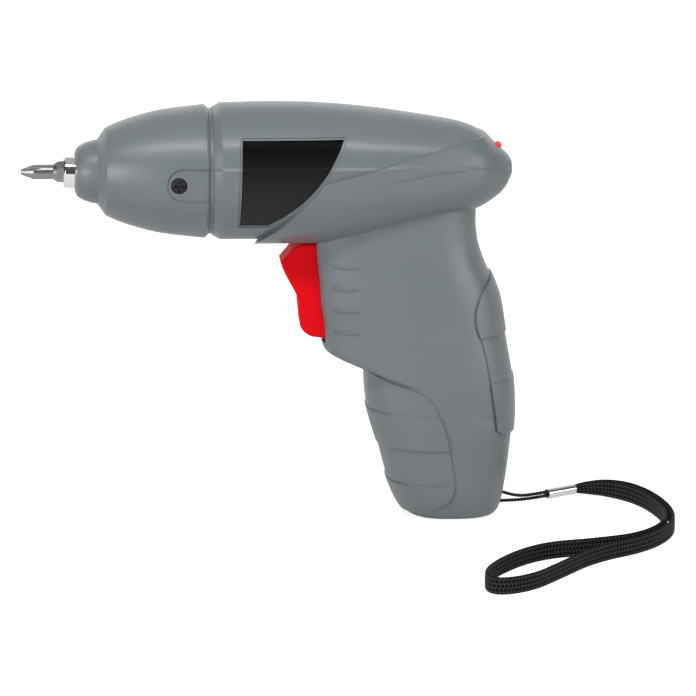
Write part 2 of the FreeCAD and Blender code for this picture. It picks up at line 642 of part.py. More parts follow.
# Ribs at both sides of the switch
SWITCH_RIB_SHARES = (0.2, 0.7)
for share in SWITCH_RIB_SHARES:
    x = switch_x + share * val("switch_length")
    rib_low = Vector(x, -reach, switch_low.z + rib)
    rib_high = Vector(x + rib, reach, switch_high.z - rib)
    ribs.append(slab(rib_low, rib_high).common(middle).cut(slab(
        Vector(x, switch_low.y - val("press_clearance"), rib_low.z),
        Vector(x + rib, switch_high.y + val("press_clearance"), rib_high.z))))

# Battery pack place, leaning with the handle
PACK_SHARE = 0.02
pack_place = Placement(
    Vector(val("grip_x") + PACK_SHARE * val("grip_depth"), 0, val("base_z") + val("pack_lift")),
    Rotation(Y_AXIS, -val("pack_lean_degrees")))
cell_step = val("cell_radius") + val("cell_gap") / 2
CELL_RIB_SHARES = (0.2, 0.75)


def in_pack(shape):
    """Move a shape from the pack's own axes to its place in the handle."""
    shape.Placement = pack_place.multiply(shape.Placement)
    return shape


pack_room = slab(Vector(-cell_step, -cell_step, -far), Vector(cell_step, cell_step, far))
for sign_x, sign_y in CORNER_SIGNS:
    pack_room = pack_room.fuse(Part.makeCylinder(
        val("cell_radius") + val("part_gap"), 2 * far, Vector(sign_x * cell_step, sign_y * cell_step, -far)))
pad_outer = val("strip_thickness") + val("pad_thickness")
for share in CELL_RIB_SHARES:
    low = share * val("cell_length")
    level = slab(Vector(-reach, -reach, low), Vector(reach, reach, low + rib)).cut(pack_room)
    ribs.append(in_pack(level).common(handle_middle))
floor_top = -pad_outer - val("press_clearance")
floor = slab(Vector(-reach, -reach, floor_top - rib), Vector(reach, reach, floor_top))
floor = floor.cut(Part.makeCylinder(val("cell_radius") / 2, reach, Vector(cell_step, 0, -reach / 2)))
ribs.append(in_pack(floor).common(handle_middle))

# Screw bosses: shares of the barrel length and radius, then of the grip's depth and the axis height
BARREL_BOSS_SHARES = [(0.13, 0.79), (0.13, -0.79), (0.6, 0.45)]
GRIP_BOSS_SHARES = [(-0.6, 0.487), (-0.43, 0.283), (-0.15, 0.065), (0.14, 0.683)]
boss_spots = barrel_outline(BARREL_BOSS_SHARES) + grip_outline(GRIP_BOSS_SHARES)
for x, z in boss_spots:
    ribs.append(side_rod(x, z, val("boss_radius"), -reach, reach).common(middle))

# Bosses for the trigger pin and the strap pin
strap_z = val("base_z") + val("strap_pin_lift")
slot_half = val("cord_radius") * 2
pin_bosses = (
    (pivot_x, pivot_z, val("trigger_pin_radius"), val("trigger_width") / 2 + val("part_gap"), pin_half),
    (val("strap_pin_x"), strap_z, val("strap_pin_radius"), slot_half, val("strap_pin_length") / 2),
)
for x, z, radius, gap, half in pin_bosses:
    column = side_rod(x, z, radius + val("pin_wall"), -reach, reach).common(middle)
    ribs.append(column.cut(side_rod(x, z, radius + val("wall"), -gap, gap)))

shell = shell.fuse(ribs)

# Holes: pins, trigger slot, strap slot, charge socket, charge light, nose screws
for x, z, radius, gap, half in pin_bosses:
    shell = shell.cut(side_rod(x, z, radius + val("press_clearance"), -half, half))
slot_y = val("trigger_width") / 2 + val("part_gap")
slot_top = val("trigger_z") + val("trigger_height") + val("wall")
shell = shell.cut(slab(
    Vector(0, -slot_y, val("trigger_z") - val("trigger_drop")), Vector(trigger_back, slot_y, slot_top)))
strand = val("strand_spread")
shell = shell.cut(slab(
    Vector(val("strap_pin_x"), -slot_half, strap_z - strand - slot_half),
    Vector(val("strap_pin_x") + reach, slot_half, strap_z + strand + slot_half)))
BASE_MIDDLE_SHARE = 0.067
base_x = val("grip_x") + BASE_MIDDLE_SHARE * val("grip_depth")
shell = shell.cut(Part.makeCylinder(
    val("socket_radius") + val("press_clearance"), val("wall") + val("socket_room"),
    Vector(base_x, 0, val("base_z") - val("wall"))))
light_axis = Vector(1, 0, 1).normalize()
light_base = Vector(val("light_x"), 0, val("light_z"))
light_back = light_base - light_axis * (val("light_length") - val("light_stand"))
shell = shell.cut(Part.makeCylinder(
    val("light_radius") + val("press_clearance"), val("light_length") * 2, light_back, light_axis))
rim = val("light_radius") + val("light_flange_rim")
room_start = light_back + light_axis * (val("light_flange") + val("part_gap"))
board_room = Part.makeCylinder(rim + val("part_gap"), val("board_width"), room_start, -light_axis)
shell = shell.cut(board_room)
screw_hole = side_rod(val("screw_x"), 0, val("screw_shank_radius") + val("press_clearance"), -reach, reach)
shell = shell.cut(screw_hole.cut(drum(0, val("barrel_front"), val("case_radius"))))

# Halves, with the screws coming in from the right
left_space = slab(Vector(0, -reach, -far), Vector(far, 0, far))
right_space = slab(Vector(0, 0, -far), Vector(far, reach, far))
left = shell.common(left_space)
right = shell.common(right_space)
screw_tip = val("housing_screw_length") - val("head_seat")
housing_screws = []
for x, z in boss_spots:
    thread = val("screw_shank_radius") + val("press_clearance")
    left = left.cut(side_rod(x, z, thread, -screw_tip - val("part_gap"), 0))
    right = right.cut(side_rod(x, z, val("screw_shank_radius") + val("loose_gap"), 0, val("head_seat")))
    right = right.cut(side_rod(x, z, val("screw_head_radius") + val("loose_gap"), val("head_seat"), reach))
    one = screw(val("housing_screw_length"))
    one.Placement = Placement(Vector(x, val("head_seat"), z), Rotation(X_AXIS, -90))
    housing_screws.append(one)
piece("left_housing", left)
piece("right_housing", right)
piece("housing_screws", Part.makeCompound(housing_screws))
piece("left_label_panel", labels.common(left_space))
piece("right_label_panel", labels.common(right_space))


def involute(radius, base):
    """Involute of the pressure angle at a radius."""
    angle = math.acos(min(1, base / radius))
    return math.tan(angle) - angle


FLANK_STEPS = 4


def gear_face(teeth, inside=False):
    """A toothed outline round the spindle axis, with a tooth (or a ring's gap) at the top."""
    module = val("gear_module")
    pitch = module * teeth / 2
    base = pitch * math.cos(PRESSURE_ANGLE)
    outward, inward = (DEDENDUM_SHARE, ADDENDUM_SHARE) if inside else (ADDENDUM_SHARE, DEDENDUM_SHARE)
    tip, root = pitch + module * outward, pitch - module * inward
    slack = val("gear_backlash") / pitch * (1 if inside else -1)
    start = max(base, root)

    def half_angle(radius):
        return math.pi / teeth / 2 + involute(pitch, base) - involute(radius, base) + slack

    def at(radius, angle):
        return Vector(0, radius * math.sin(angle), radius * math.cos(angle))
    radii = [start + (tip - start) * step / FLANK_STEPS for step in range(FLANK_STEPS + 1)]
    edges = []
    pitch_angle = 2 * math.pi / teeth
    for tooth in range(teeth):
        middle_angle = tooth * pitch_angle
        near = [at(radius, middle_angle - half_angle(radius)) for radius in radii]
        far = [at(radius, middle_angle + half_angle(radius)) for radius in reversed(radii)]
        foot_angle = half_angle(start)
        low_near, low_far = at(root, middle_angle - foot_angle), at(root, middle_angle + foot_angle)
        next_near = at(root, middle_angle + pitch_angle - foot_angle)
        if root < start:
            edges.append(Part.makeLine(low_near, near[0]))
        edges.append(smooth(near))
        edges.append(Part.Arc(near[-1], at(tip, middle_angle), far[0]).toShape())
        edges.append(smooth(far))
        if root < start:
            edges.append(Part.makeLine(far[-1], low_far))
        edges.append(Part.Arc(low_far, at(root, middle_angle + pitch_angle / 2), next_near).toShape())
    return Part.Face(Part.Wire(edges))


def gear(teeth, x_start, x_end, inside=False):
    """A toothed prism between two places on the spindle axis."""
    face = gear_face(teeth, inside)
    face.translate(Vector(x_start, 0, 0))
    return face.extrude(Vector(x_end - x_start, 0, 0))


def orbit(shape, index):
    """A copy of a shape turned to the place of a planet."""
    copy = shape.copy()
    copy.rotate(ORIGIN, X_AXIS, 360 / PLANETS * index)
    return copy


# Gear case with the ring teeth, and its cover
case = drum(val("case_front"), val("case_rear"), val("case_radius"))
case = case.cut(gear(RING_TEETH, val("case_front"), val("case_rear"), True))
pocket = seat - val("nose_screw_length") - val("press_clearance")
for side in (-1, 1):
    low, high = sorted((side * pocket, side * val("nose_radius")))
    thread = val("screw_shank_radius") + val("press_clearance")
    case = case.cut(side_rod(val("screw_x"), 0, thread, low, high))
piece("gear_case", case)
turned("gear_case_cover", [
    ("bush_front", "bush_radius + press_clearance"), ("bush_front", "bush_radius + boss_wall"),
    ("cover_front", "bush_radius + boss_wall"), ("cover_front", "case_radius"), ("case_front", "case_radius"),
    ("case_front", "bush_radius + press_clearance")])
turned("spindle_bush", [
    ("bush_front", "bush_bore"), ("bush_front", "bush_radius"),
    ("bush_rear", "bush_radius"), ("bush_rear", "bush_bore")])

# Spindle with its bit socket
HEX_SIDES = 6
spindle_body = turned("spindle_blank", [
    ("0", "0"), ("0", "collar_radius - collar_chamfer"), ("collar_chamfer", "collar_radius"),
    ("collar_length", "collar_radius"), ("collar_length", "neck_radius"), ("clip_front", "neck_radius"),
    ("clip_front", "journal_radius - groove_depth"), ("clip_rear", "journal_radius - groove_depth"),
    ("clip_rear", "journal_radius"), ("stub_front", "journal_radius"), ("stub_front", "stub_radius"),
    ("stub_rear", "stub_radius"), ("stub_rear", "0")], False)
socket = doc.addObject("Part::Prism", "spindle_socket")
socket.Polygon = HEX_SIDES
socket.Placement = Placement(ORIGIN, TO_X)
socket.setExpression("Circumradius", f"({linked('bit_flats + running_clearance * 2')}) / sqrt(3)")
socket.setExpression("Height", linked("magnet_front"))
well = doc.addObject("Part::Cylinder", "spindle_well")
well.Placement = Placement(ORIGIN, TO_X)
well.setExpression("Radius", linked("magnet_radius"))
well.setExpression("Height", linked("magnet_rear"))
bore = doc.addObject("Part::Fuse", "spindle_bore")
bore.Base, bore.Tool = socket, well
spindle = doc.addObject("Part::Cut", "spindle")
spindle.Base, spindle.Tool = spindle_body, bore
doc.recompute()
node("spindle", spindle)
turned("bit_magnet", [
    ("magnet_front", "0"), ("magnet_front", "magnet_radius - press_clearance"),
    ("magnet_rear", "magnet_radius - press_clearance"), ("magnet_rear", "0")])
turned("retaining_ring", [
    ("clip_front + press_clearance", "journal_radius - groove_depth"),
    ("clip_front + press_clearance", "clip_radius"), ("clip_rear - press_clearance", "clip_radius"),
    ("clip_rear - press_clearance", "journal_radius - groove_depth")])

# Driver bit: hex shank, round neck and a cross tip
tip_x = -val("bit_exposed")
neck_x = tip_x + val("bit_taper")
flare_x = -val("bit_flare") - val("bit_flare")
corner_radius = val("bit_flats") / math.sqrt(3)
outline = [
    Vector(tip_x, 0, 0), Vector(tip_x, 0, val("bit_point_radius")),
    Vector(neck_x, 0, val("bit_shank_radius")), Vector(flare_x, 0, val("bit_shank_radius")),
    Vector(-val("bit_flare"), 0, corner_radius), Vector(val("bit_rear"), 0, corner_radius),
    Vector(val("bit_rear"), 0, 0)]
bit = Part.Face(Part.makePolygon(outline + outline[:1])).revolve(ORIGIN, X_AXIS, 360)
hex_corners = []
for step in range(HEX_SIDES + 1):
    angle = math.tau * step / HEX_SIDES
    hex_corners.append(Vector(tip_x, corner_radius * math.sin(angle), corner_radius * math.cos(angle)))
bit = bit.common(Part.Face(Part.makePolygon(hex_corners)).extrude(Vector(val("bit_length"), 0, 0)))
web = val("bit_web")
flute_rise = math.degrees(math.atan2(val("bit_shank_radius") - web, val("bit_flute")))
flute = Part.makeBox(val("bit_length"), val("bit_flats"), val("bit_flats"))
flute.Placement = Placement(Vector(tip_x, web, web), Rotation(Vector(0, 1, -1), -flute_rise))
FLUTES = 4
for index in range(FLUTES):
    cutter = flute.copy()
    cutter.rotate(ORIGIN, X_AXIS, 360 / FLUTES * index)
    bit = bit.cut(cutter)
piece("driver_bit", bit)


def planet_stage(name, carrier_front, carrier_rear, planet_front, planet_rear, bore_radius):
    """A carrier disc, its pins and its planets."""
    disc = drum(carrier_front, carrier_rear, val("carrier_radius"))
    if bore_radius:
        disc = disc.cut(drum(carrier_front, carrier_rear, bore_radius))
    pin_start = carrier_front + val("part_gap")
    pin_end = planet_rear + val("part_gap") / 2
    pin = Part.makeCylinder(
        val("planet_pin_radius"), pin_end - pin_start, Vector(pin_start, 0, val("planet_orbit")), X_AXIS)
    hole = Part.makeCylinder(
        val("planet_pin_radius") + val("press_clearance"), carrier_rear - pin_start,
        Vector(pin_start, 0, val("planet_orbit")), X_AXIS)
    planet = gear(PLANET_TEETH, planet_front, planet_rear)
    planet = planet.cut(drum(planet_front, planet_rear, val("planet_pin_radius") + val("running_clearance")))
    planet.translate(Vector(0, 0, val("planet_orbit")))
    for index in range(PLANETS):
        disc = disc.cut(orbit(hole, index))
        piece(f"{name}_planet_{index + 1}", orbit(planet, index))
    piece(f"{name}_planet_pins", Part.makeCompound([orbit(pin, index) for index in range(PLANETS)]))
    piece(f"{name}_carrier", disc)


first_places = ("carrier_one_front", "carrier_one_rear", "planet_one_front", "planet_one_rear")
second_places = ("carrier_two_front", "carrier_two_rear", "planet_two_front", "planet_two_rear")
planet_stage("first", *[val(place) for place in first_places], 0)
planet_stage("second", *[val(place) for place in second_places], val("stub_radius") + val("press_clearance"))
piece("second_sun", gear(SUN_TEETH, val("planet_two_front") + val("part_gap"), val("carrier_one_front")))
pinion_front = val("planet_one_front") + val("part_gap")
pinion = gear(SUN_TEETH, pinion_front, val("case_rear"))
piece("motor_pinion", pinion.cut(drum(pinion_front, val("case_rear"), val("shaft_radius"))))

# Motor
turned("motor_shaft", [
    ("planet_one_front + part_gap", "0"), ("planet_one_front + part_gap", "shaft_radius"),
    ("motor_rear + part_gap", "shaft_radius"), ("motor_rear + part_gap", "0")])
turned("motor_plate", [
    ("case_rear", "can_boss_radius + press_clearance"), ("case_rear", "case_radius"),
    ("motor_front", "case_radius"), ("motor_front", "can_boss_radius + press_clearance")])
turned("motor_can", [
    ("motor_front - can_boss_length", "motor_bush_radius"),
    ("motor_front - can_boss_length", "can_boss_radius"), ("motor_front", "can_boss_radius"),
    ("motor_front", "can_radius"), ("can_rear", "can_radius"), ("can_rear", "can_bore"),
    ("motor_front + can_wall", "can_bore"),
    ("motor_front + can_wall", "motor_bush_radius")])
turned("motor_front_bush", [
    ("motor_front - can_boss_length", "shaft_radius + running_clearance"),
    ("motor_front - can_boss_length", "motor_bush_radius - press_clearance"),
    ("motor_front + can_lip", "motor_bush_radius - press_clearance"),
    ("motor_front + can_lip", "shaft_radius + running_clearance")])
turned("motor_end_cap", [
    ("can_rear - can_lip", "cap_bore_radius"), ("can_rear - can_lip", "can_bore - press_clearance"),
    ("can_rear", "can_bore - press_clearance"), ("can_rear", "can_radius"),
    ("motor_rear - can_wall", "can_radius"), ("motor_rear", "can_radius - can_wall"),
    ("motor_rear", "motor_bush_radius"),
    ("can_rear + can_wall", "motor_bush_radius"), ("can_rear + can_wall", "cap_bore_radius")])
turned("motor_rear_bush", [
    ("can_rear + can_wall", "shaft_radius + running_clearance"),
    ("can_rear + can_wall", "motor_bush_radius - press_clearance"),
    ("motor_rear - can_wall", "motor_bush_radius - press_clearance"),
    ("motor_rear - can_wall", "shaft_radius + running_clearance")])
core_start = val("motor_front") + val("core_setback")
core_end = core_start + val("armature_length")
magnet_outer = val("can_bore") - val("press_clearance")
magnet_ring = drum(core_start - val("can_wall"), core_end + val("can_wall"), magnet_outer)
magnet_ring = magnet_ring.cut(drum(0, val("motor_rear"), val("can_bore") - val("magnet_thickness")))
gap_half = val("magnet_gap") / 2
magnets = magnet_ring.cut(slab(Vector(0, -reach, -gap_half), Vector(val("motor_rear"), reach, gap_half)))
piece("motor_magnets", magnets)
core = drum(core_start, core_end, val("armature_radius")).cut(drum(0, val("motor_rear"), val("shaft_radius")))
slot = slab(
    Vector(core_start, -val("shaft_radius"), val("core_hub_radius")),
    Vector(core_end, val("shaft_radius"), val("can_radius")))
coil = slab(
    Vector(core_start - val("can_wall"), -val("shaft_radius"), val("core_hub_radius")),
    Vector(core_end + val("can_wall"), val("shaft_radius"), val("armature_radius") - val("can_wall")))
windings = []
for index in range(PLANETS):
    core = core.cut(orbit(slot, index))
    windings.append(orbit(coil, index))
piece("armature_core", core)
piece("armature_windings", Part.makeCompound(windings))
commutator_end = val("can_rear")
commutator_start = commutator_end - val("commutator_length")
commutator = drum(commutator_start, commutator_end, val("commutator_radius"))
piece("commutator", commutator.cut(drum(0, val("motor_rear"), val("shaft_radius"))))
brushes = []
brush_half = val("brush_width") / 2
for side in (-1, 1):
    low, high = sorted((
        side * (val("commutator_radius") + val("running_clearance")),
        side * (val("cap_bore_radius") - val("loose_gap"))))
    brushes.append(slab(
        Vector(val("can_rear") - val("can_wall") - val("brush_length"), low, -brush_half),
        Vector(val("can_rear") - val("can_wall"), high, brush_half)))
piece("motor_brushes", Part.makeCompound(brushes))
terminals = []
for side in (-1, 1):
    inner = val("can_radius") / 2
    low, high = sorted((side * inner, side * (inner + val("terminal_thickness"))))
    terminals.append(slab(
        Vector(val("motor_rear"), low, -val("terminal_width") / 2),
        Vector(val("motor_rear") + val("terminal_length"), high, val("terminal_width") / 2)))
piece("motor_terminals", Part.makeCompound(terminals))

# Trigger: outline as shares of its depth and height, from the top down the front
LOBE_SHARES = [
    (0.0, 0.80), (0.083, 0.7), (0.263, 0.54), (0.378, 0.415), (0.397, 0.315), (0.423, 0.212), (0.442, 0.129),
    (0.551, 0.0575), (0.711, 0.017),
]
FACET_SHARE = (0.244, 0.94)
ROOF_SHARE = (0.444, 1)
ROUNDED_SHARE = (0.9, 0)


def trigger_point(share):
    """A point of the trigger's outline."""
    x_share, z_share = share
    return Vector(
        val("trigger_x") + x_share * val("trigger_depth"), -val("trigger_width") / 2,
        val("trigger_z") + z_share * val("trigger_height"))


facet = trigger_point(FACET_SHARE)
lobe = [trigger_point(share) for share in LOBE_SHARES]
heel = Vector(trigger_back, facet.y, val("trigger_z"))
crown = trigger_point((1, 1))
back_top = Vector(trigger_back, facet.y, crown.z - val("wall"))
roof = trigger_point(ROOF_SHARE)
foot = trigger_point((1, 0))
straight = [(back_top, crown), (crown, roof), (roof, facet), (facet, lobe[0])]
edges = [Part.makeLine(*ends) for ends in straight]
edges.append(smooth(lobe))
edges += [Part.makeLine(*ends) for ends in ((lobe[-1], foot), (foot, heel), (heel, back_top))]
trigger = Part.Face(Part.Wire(edges)).extrude(Vector(0, val("trigger_width"), 0))
rounded = []
for edge in trigger.Edges:
    box = edge.BoundBox
    flat = box.YLength < val("press_clearance")
    if flat and box.XMin < trigger_point(ROUNDED_SHARE).x:
        rounded.append(edge)
trigger = trigger.makeFillet(val("trigger_edge"), rounded)
pin_hole = val("trigger_pin_radius") + val("running_clearance")
trigger = trigger.cut(side_rod(pivot_x, pivot_z, pin_hole, -reach, reach))
piece("trigger", trigger)
piece("trigger_pin", side_rod(pivot_x, pivot_z, val("trigger_pin_radius"), -pin_half, pin_half))

# Switch behind the trigger
switch = slab(switch_low, switch_high)
plunger_tip = trigger_back + val("part_gap") + val("running_clearance")
for name, side in (("upper", 1), ("lower", -1)):
    z = pivot_z + side * val("plunger_spread")
    start = Vector(plunger_tip, 0, z)
    length = switch_x - plunger_tip + val("plunger_depth")
    piece(f"{name}_plunger", Part.makeCylinder(val("plunger_radius"), length, start, X_AXIS))
    switch = switch.cut(Part.makeCylinder(
        val("plunger_radius") + val("part_gap"), length + val("plunger_radius"), start, X_AXIS))
piece("switch_body", switch)
lugs = []
for side_y in (-1, 1):
    for side_z in (-1, 1):
        lug_y = side_y * val("switch_width") / 4 - val("terminal_width") / 2
        lug_z = pivot_z + side_z * val("plunger_spread") - val("terminal_thickness") / 2
        corner = Vector(switch_high.x, lug_y, lug_z)
        size = Vector(val("terminal_length"), val("terminal_width"), val("terminal_thickness"))
        lugs.append(slab(corner, corner + size))
piece("switch_terminals", Part.makeCompound(lugs))

# Battery pack: four cells, nickel strips and insulating pads
for index, (sign_x, sign_y) in enumerate(CORNER_SIGNS, 1):
    body_length = val("cell_length") - val("cell_nub")
    cell = Part.makeCylinder(val("cell_radius"), body_length)
    cell = cell.fuse(Part.makeCylinder(val("cell_nub_radius"), val("cell_nub"), Vector(0, 0, body_length)))
    if index % 2 == 0:
        cell.Placement = Placement(Vector(0, 0, val("cell_length")), Rotation(X_AXIS, 180))
    cell.translate(Vector(sign_x * cell_step, sign_y * cell_step, 0))
    piece(f"battery_cell_{index}", in_pack(cell))
half_strip = val("tab_width") / 2
strips = []
strip_top = val("cell_length") + val("strip_thickness")
for sign_x in (-1, 1):
    strips.append(slab(
        Vector(sign_x * cell_step - half_strip, -cell_step - half_strip, val("cell_length")),
        Vector(sign_x * cell_step + half_strip, cell_step + half_strip, strip_top)))
strips.append(slab(
    Vector(-cell_step - half_strip, cell_step - half_strip, -val("strip_thickness")),
    Vector(cell_step + half_strip, cell_step + half_strip, 0)))
for sign_x in (-1, 1):
    strips.append(slab(
        Vector(sign_x * cell_step - half_strip, -cell_step - half_strip, -val("strip_thickness")),
        Vector(sign_x * cell_step + half_strip, -cell_step + half_strip, 0)))
piece("battery_strips", Part.makeCompound([in_pack(strip) for strip in strips]))
PAD_SHARE = 0.7
pad_half = cell_step + val("cell_radius") * PAD_SHARE
battery_pads = []
for low in (-pad_outer, strip_top):
    battery_pads.append(in_pack(slab(
        Vector(-pad_half, -pad_half, low), Vector(pad_half, pad_half, low + val("pad_thickness")))))
piece("battery_pads", Part.makeCompound(battery_pads))

# Charge socket in the base
socket_base = Vector(base_x, 0, val("base_z"))
jack = Part.makeCylinder(val("socket_radius"), val("socket_length"), socket_base)
jack = jack.fuse(Part.makeCylinder(
    val("socket_flange_radius"), val("socket_flange"), socket_base + Z_AXIS * val("socket_setback")))
jack = jack.cut(Part.makeCylinder(val("socket_bore_radius"), val("socket_bore_length"), socket_base))
piece("charge_socket", jack)

# Charge light and its board
light = Part.makeCylinder(val("light_radius"), val("light_length"), light_back, light_axis)
light = light.fuse(Part.makeSphere(val("light_radius"), light_back + light_axis * val("light_length")))
light = light.fuse(Part.makeCylinder(rim, val("light_flange"), light_back, light_axis))
piece("charge_light", light)
board = slab(
    Vector(-val("board_length") / 2, -val("board_width") / 2, -val("board_thickness")),
    Vector(val("board_length") / 2, val("board_width") / 2, 0))
board.Placement = Placement(light_back, Rotation(Z_AXIS, light_axis))
piece("light_board", board)
pin_end = val("strap_pin_length") / 2
piece("strap_pin", side_rod(val("strap_pin_x"), strap_z, val("strap_pin_radius"), -pin_end, pin_end))

# Cords: straight runs joined by tangent arcs
ARC_SHARE = 0.45


def routed(name, points):
    """A wire through straight runs with tangent arcs at the corners, and its smallest radius."""
    edges, radii = [], []
    last = points[0]
    for before, corner, after in zip(points, points[1:], points[2:]):
        into, out = corner - before, after - corner
        trim = ARC_SHARE * min(into.Length, out.Length)
        into.normalize()
        out.normalize()
        turn = into.getAngle(out)
        start, end = corner - into * trim, corner + out * trim
        radius = trim / math.tan(turn / 2)
        radii.append(radius)
        bisector = (out - into).normalize()
        centre = corner + bisector * (radius / math.cos(turn / 2))
        edges.append(Part.makeLine(last, start))
        edges.append(Part.Arc(start, centre - bisector * radius, end).toShape())
        last = end
    edges.append(Part.makeLine(last, points[-1]))
    wire = Part.Wire(edges)
    print(name, "length", round(wire.Length, 1), "smallest radius", round(min(radii), 2))
    return wire


def swept(name, wire, section, area):
    """A solid swept along a wire, with its volume set against section times length."""
    solid = wire.makePipeShell([section], True, False)
    print(name, "volume share", round(solid.Volume / (area * wire.Length), 4))
    return solid


def cord(name, points, radius):
    """A round cord along a route."""
    wire = routed(name, points)
    circle = Part.Wire([Part.makeCircle(radius, points[0], points[1] - points[0])])
    return piece(name, swept(name, wire, circle, math.pi * radius ** 2))


base = val("base_z")
CORD_ROUTE = [
    (169.6, 12.3, 3.25), (163.0, 8.4, 3.5), (156.5, 3.9, 5.2), (151.0, 0.5, 7.2), (146.6, 0.0, 7.65),
    (141.9, 0.0, 7.65), (141.9, 0.0, 3.15), (146.6, 0.0, 3.15), (151.0, 0.5, 3.0), (156.5, 3.9, 2.4),
    (163.0, 8.4, 2.0), (169.6, 12.3, 1.95),
]
cord("strap_cord", [Vector(x, y, base + z) for x, y, z in CORD_ROUTE], val("cord_radius"))
FERRULE_ENDS = [(166.6, 10.5, 2.6), (176.4, 16.3, 2.6)]
ferrule_start, ferrule_end = [Vector(x, y, base + z) for x, y, z in FERRULE_ENDS]
ferrule_axis = ferrule_end - ferrule_start
ferrule = Part.makeCylinder(val("ferrule_radius"), val("ferrule_length"), ferrule_start, ferrule_axis)
ferrule = ferrule.cut(Part.makeCylinder(
    val("ferrule_bore_radius"), val("ferrule_length"), ferrule_start, ferrule_axis))
piece("strap_ferrule", ferrule)
STRAP_ROUTE = [
    (178.2, 18.1), (188.5, 18.2), (199.3, 7.6), (206.4, -14.0), (206.8, -34.0), (196.1, -53.0),
    (176.6, -68.5), (164.1, -88.5), (153.1, -107.5), (141.1, -114.0), (136.4, -99.0), (146.1, -77.0),
    (159.6, -61.0), (177.0, -57.0), (194.1, -50.0), (204.2, -33.2), (203.9, -14.4), (197.4, 5.6),
    (187.8, 15.0), (178.6, 15.9),
]
half_width = val("strap_width") / 2
strap_points = [Vector(x, y, base + half_width) for x, y in STRAP_ROUTE]
strap_wire = routed("wrist_strap", strap_points)
strap_start = strap_points[0]
across = (strap_points[1] - strap_start).cross(Z_AXIS).normalize() * (val("strap_thickness") / 2)
up = Z_AXIS * half_width
corners = [strap_start + across * side_y + up * side_z for side_y, side_z in CORNER_SIGNS]
strap_section = Part.makePolygon(corners + corners[:1])
strap = swept("wrist_strap", strap_wire, strap_section, val("strap_width") * val("strap_thickness"))
neck_start = ferrule_end - ferrule_axis.normalize() * val("strap_neck")
neck_radius = val("ferrule_bore_radius") - val("running_clearance")
neck_length = (strap_start - neck_start).Length + half_width
neck = Part.makeCylinder(neck_radius, neck_length, neck_start, ferrule_axis)
piece("wrist_strap", strap.fuse(neck))

doc.recompute()
for thing in doc.Objects:
    if "Invalid" in thing.State or "Error" in thing.State:
        raise RuntimeError(f"{thing.Label} is {thing.State}")
os.makedirs("parts", exist_ok=True)
for thing in NODES:
    if thing.Shape.isNull() or not thing.Shape.isValid():
        raise RuntimeError(f"{thing.Label} has no sound shape")
    thing.Shape.exportStep(f"parts/{thing.Label}.step")
print(len(NODES), "sub-parts")
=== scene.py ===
import json
import math

import bpy
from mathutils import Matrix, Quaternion, Vector


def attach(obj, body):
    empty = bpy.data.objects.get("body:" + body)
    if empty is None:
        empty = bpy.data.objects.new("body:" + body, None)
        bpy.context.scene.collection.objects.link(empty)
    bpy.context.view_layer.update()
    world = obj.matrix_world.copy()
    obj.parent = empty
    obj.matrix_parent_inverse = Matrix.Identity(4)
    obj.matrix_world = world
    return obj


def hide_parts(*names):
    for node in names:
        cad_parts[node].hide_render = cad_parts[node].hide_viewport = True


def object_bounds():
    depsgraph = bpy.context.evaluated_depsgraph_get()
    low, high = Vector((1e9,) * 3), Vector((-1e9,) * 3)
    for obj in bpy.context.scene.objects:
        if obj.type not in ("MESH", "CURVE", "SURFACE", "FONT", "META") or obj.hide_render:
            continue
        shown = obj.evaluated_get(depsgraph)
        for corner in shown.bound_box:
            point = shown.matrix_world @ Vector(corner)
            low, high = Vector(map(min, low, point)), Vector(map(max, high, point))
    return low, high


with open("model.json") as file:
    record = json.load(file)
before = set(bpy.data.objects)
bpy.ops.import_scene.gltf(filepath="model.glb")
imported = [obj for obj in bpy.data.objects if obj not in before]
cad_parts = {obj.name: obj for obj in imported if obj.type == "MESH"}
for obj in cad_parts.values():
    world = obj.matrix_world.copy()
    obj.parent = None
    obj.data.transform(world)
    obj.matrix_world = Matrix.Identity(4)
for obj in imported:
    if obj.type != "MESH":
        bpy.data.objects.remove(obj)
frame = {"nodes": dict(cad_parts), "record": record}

# The CAD box, and the surface that the tool stands on
cad_low, cad_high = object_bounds()
FLOOR_Z = cad_low.z
UP = Vector((0, 0, 1))

# Camera: the photograph's angle through a long lens, in metres and degrees, its sensor in millimetres
IMAGE_PIXELS = 696
METRES_PER_PIXEL = 0.00034
CAMERA_DISTANCE = 4.0
CAMERA_ELEVATION = 15
CAMERA_AZIMUTH = -4
CAMERA_TARGET = (0.0973, 0.0025, -0.0631)
CAMERA_ROLL = 0.6
CAMERA_REACH = 40
SENSOR_WIDTH = 36


def add_camera():
    """A camera that sees the photograph's frame at the target's distance."""
    data = bpy.data.cameras.new("camera")
    data.sensor_width = SENSOR_WIDTH
    data.lens = SENSOR_WIDTH * CAMERA_DISTANCE / (IMAGE_PIXELS * METRES_PER_PIXEL)
    data.clip_end = CAMERA_REACH
    camera = bpy.data.objects.new("camera", data)
    bpy.context.scene.collection.objects.link(camera)
    azimuth, elevation = math.radians(CAMERA_AZIMUTH), math.radians(CAMERA_ELEVATION)
    flat = math.cos(elevation)
    back = Vector((math.sin(azimuth) * flat, -math.cos(azimuth) * flat, math.sin(elevation)))
    camera.location = Vector(CAMERA_TARGET) + back * CAMERA_DISTANCE
    camera.rotation_mode = "QUATERNION"
    level = (-back).to_track_quat("-Z", "Y")
    camera.rotation_quaternion = level @ Quaternion((0, 0, 1), math.radians(CAMERA_ROLL))
    bpy.context.scene.camera = camera


# Materials
BEVEL_SAMPLES = 4


